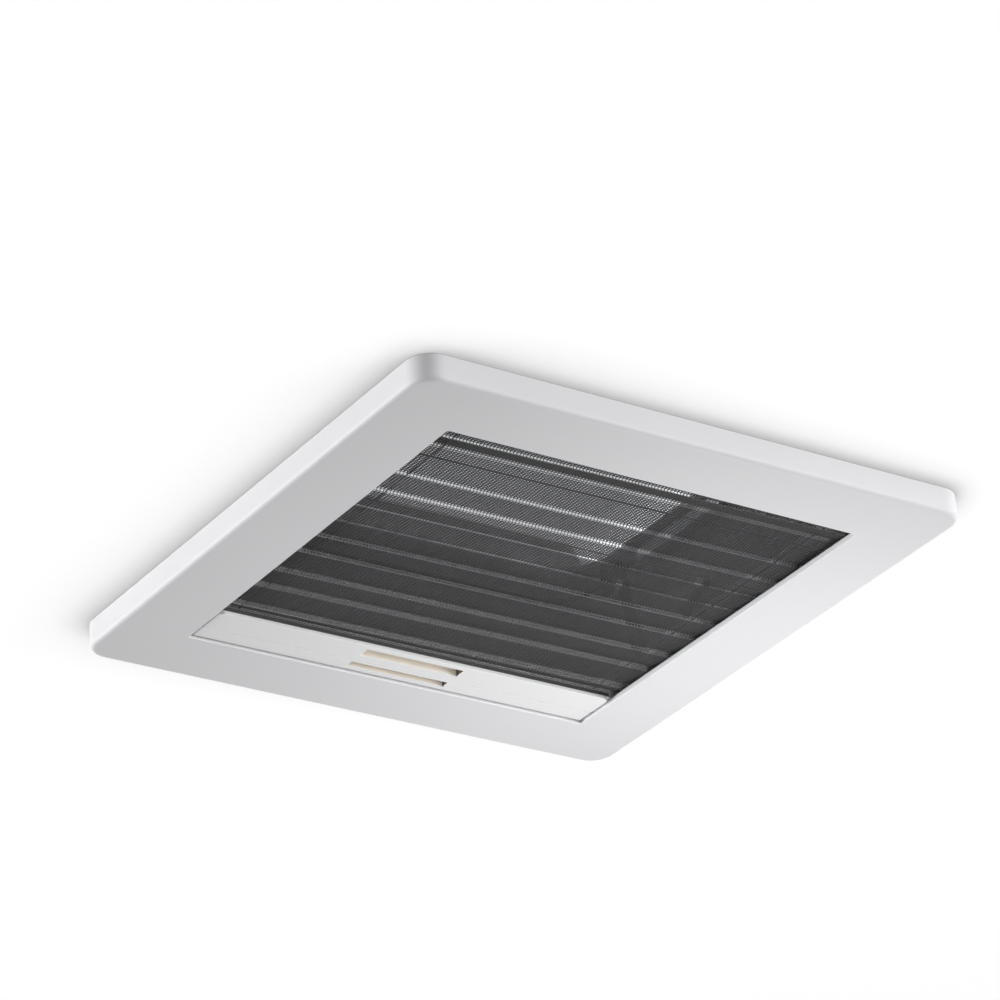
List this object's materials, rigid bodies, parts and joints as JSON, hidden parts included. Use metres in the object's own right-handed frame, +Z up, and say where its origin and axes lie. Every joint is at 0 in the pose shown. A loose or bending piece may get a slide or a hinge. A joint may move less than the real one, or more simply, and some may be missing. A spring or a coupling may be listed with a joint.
{
  "type": "roof vent with pleated flyscreen and blind",
  "caption": "Small square roof vent seen from the room: white trim frame, pleated black flyscreen and blackout blind on pull bars, hinged double-skin dome above",
  "frame": {"origin": "centre of the trim frame's underside, which is also the middle of the bounding box's base", "axes": "+Z up through the roof, +X along the pull bars, +Y towards the end where the bars are parked and the latches sit; the dome's hinge is at -Y"},
  "size_m": [0.4, 0.4, 0.135],
  "materials": {
    "trim_white": "satin",
    "bar_white": "satin",
    "rail_white": "matte",
    "glide_white": "matte",
    "screen_mesh": "woven",
    "blind_cloth": "pleated",
    "cord": "twisted",
    "clip_steel": "plain",
    "screw_steel": "plain",
    "pin_steel": "plain",
    "flange_plastic": "matte",
    "frame_plastic": "matte",
    "seal_rubber": "matte",
    "tape_rubber": "matte",
    "dome_acrylic": "translucent",
    "inner_acrylic": "translucent",
    "stay_steel": "plain",
    "stay_rail_plastic": "matte",
    "lever_black": "satin"
  },
  "bodies": {
    "root": {"trim_frame": "trim_white", "carrier_frame": "rail_white", "trim_clips": "clip_steel", "clamp_screws": "screw_steel", "flyscreen_cassette": "rail_white", "blind_cassette": "rail_white", "side_rail_left": "rail_white", "side_rail_right": "rail_white", "flyscreen": "screen_mesh", "blackout_blind": "blind_cloth", "guide_cords": "cord", "cord_knots": "cord", "roof_flange": "flange_plastic", "roof_seal": "tape_rubber", "dome_seal": "seal_rubber", "hinge_pins": "pin_steel", "stay_pivot_pins": "pin_steel", "lever_pins": "pin_steel"},
    "flyscreen_slider": {"flyscreen_bar": "bar_white", "flyscreen_bar_glides": "glide_white"},
    "blind_slider": {"blind_bar": "bar_white", "blind_bar_glides": "glide_white"},
    "dome": {"dome_frame": "frame_plastic", "dome_outer": "dome_acrylic", "dome_inner": "inner_acrylic", "stay_rail_left": "stay_rail_plastic", "stay_rail_right": "stay_rail_plastic", "latch_catches": "lever_black"},
    "stay_left": {"stay_arm_left": "stay_steel", "stay_peg_left": "stay_steel"},
    "stay_right": {"stay_arm_right": "stay_steel", "stay_peg_right": "stay_steel"},
    "latch_left": {"latch_lever_left": "lever_black"},
    "latch_right": {"latch_lever_right": "lever_black"},
    "hook_left": {"vent_hook_left": "lever_black"},
    "hook_right": {"vent_hook_right": "lever_black"}
  },
  "joints": [
    {"name": "flyscreen_slide", "type": "slide", "parent": "root", "child": "flyscreen_slider", "axis": [0, -1, 0], "range_m": [0, 0.244], "deforming": ["flyscreen"]},
    {"name": "blind_slide", "type": "slide", "parent": "root", "child": "blind_slider", "axis": [0, -1, 0], "range_m": [0, 0.244], "deforming": ["blackout_blind"]},
    {"name": "dome_hinge", "type": "hinge", "parent": "root", "child": "dome", "pos_m": [0, -0.191, 0.074], "axis": [1, 0, 0], "range_deg": [0, 45]},
    {"name": "stay_pivot_left", "type": "hinge", "parent": "root", "child": "stay_left", "pos_m": [-0.1294, -0.071, 0.074], "axis": [1, 0, 0], "range_deg": [0, 90]},
    {"name": "stay_pivot_right", "type": "hinge", "parent": "root", "child": "stay_right", "pos_m": [0.1294, -0.071, 0.074], "axis": [1, 0, 0], "range_deg": [0, 90]},
    {"name": "latch_turn_left", "type": "hinge", "parent": "root", "child": "latch_left", "pos_m": [-0.1286, 0.0695, 0.061], "axis": [1, 0, 0], "range_deg": [-20, 0]},
    {"name": "latch_turn_right", "type": "hinge", "parent": "root", "child": "latch_right", "pos_m": [0.1286, 0.0695, 0.061], "axis": [1, 0, 0], "range_deg": [-20, 0]},
    {"name": "hook_turn_left", "type": "hinge", "parent": "root", "child": "hook_left", "pos_m": [-0.1286, -0.009, 0.027], "axis": [1, 0, 0], "range_deg": [0, 60]},
    {"name": "hook_turn_right", "type": "hinge", "parent": "root", "child": "hook_right", "pos_m": [0.1286, -0.009, 0.027], "axis": [1, 0, 0], "range_deg": [0, 60]}
  ],
  "couplings": [
    {"joint": "blind_slide", "follows": "flyscreen_slide", "ratio": 1},
    {"joint": "stay_pivot_left", "follows": "dome_hinge", "ratio": 2},
    {"joint": "stay_pivot_right", "follows": "dome_hinge", "ratio": 2}
  ]
}
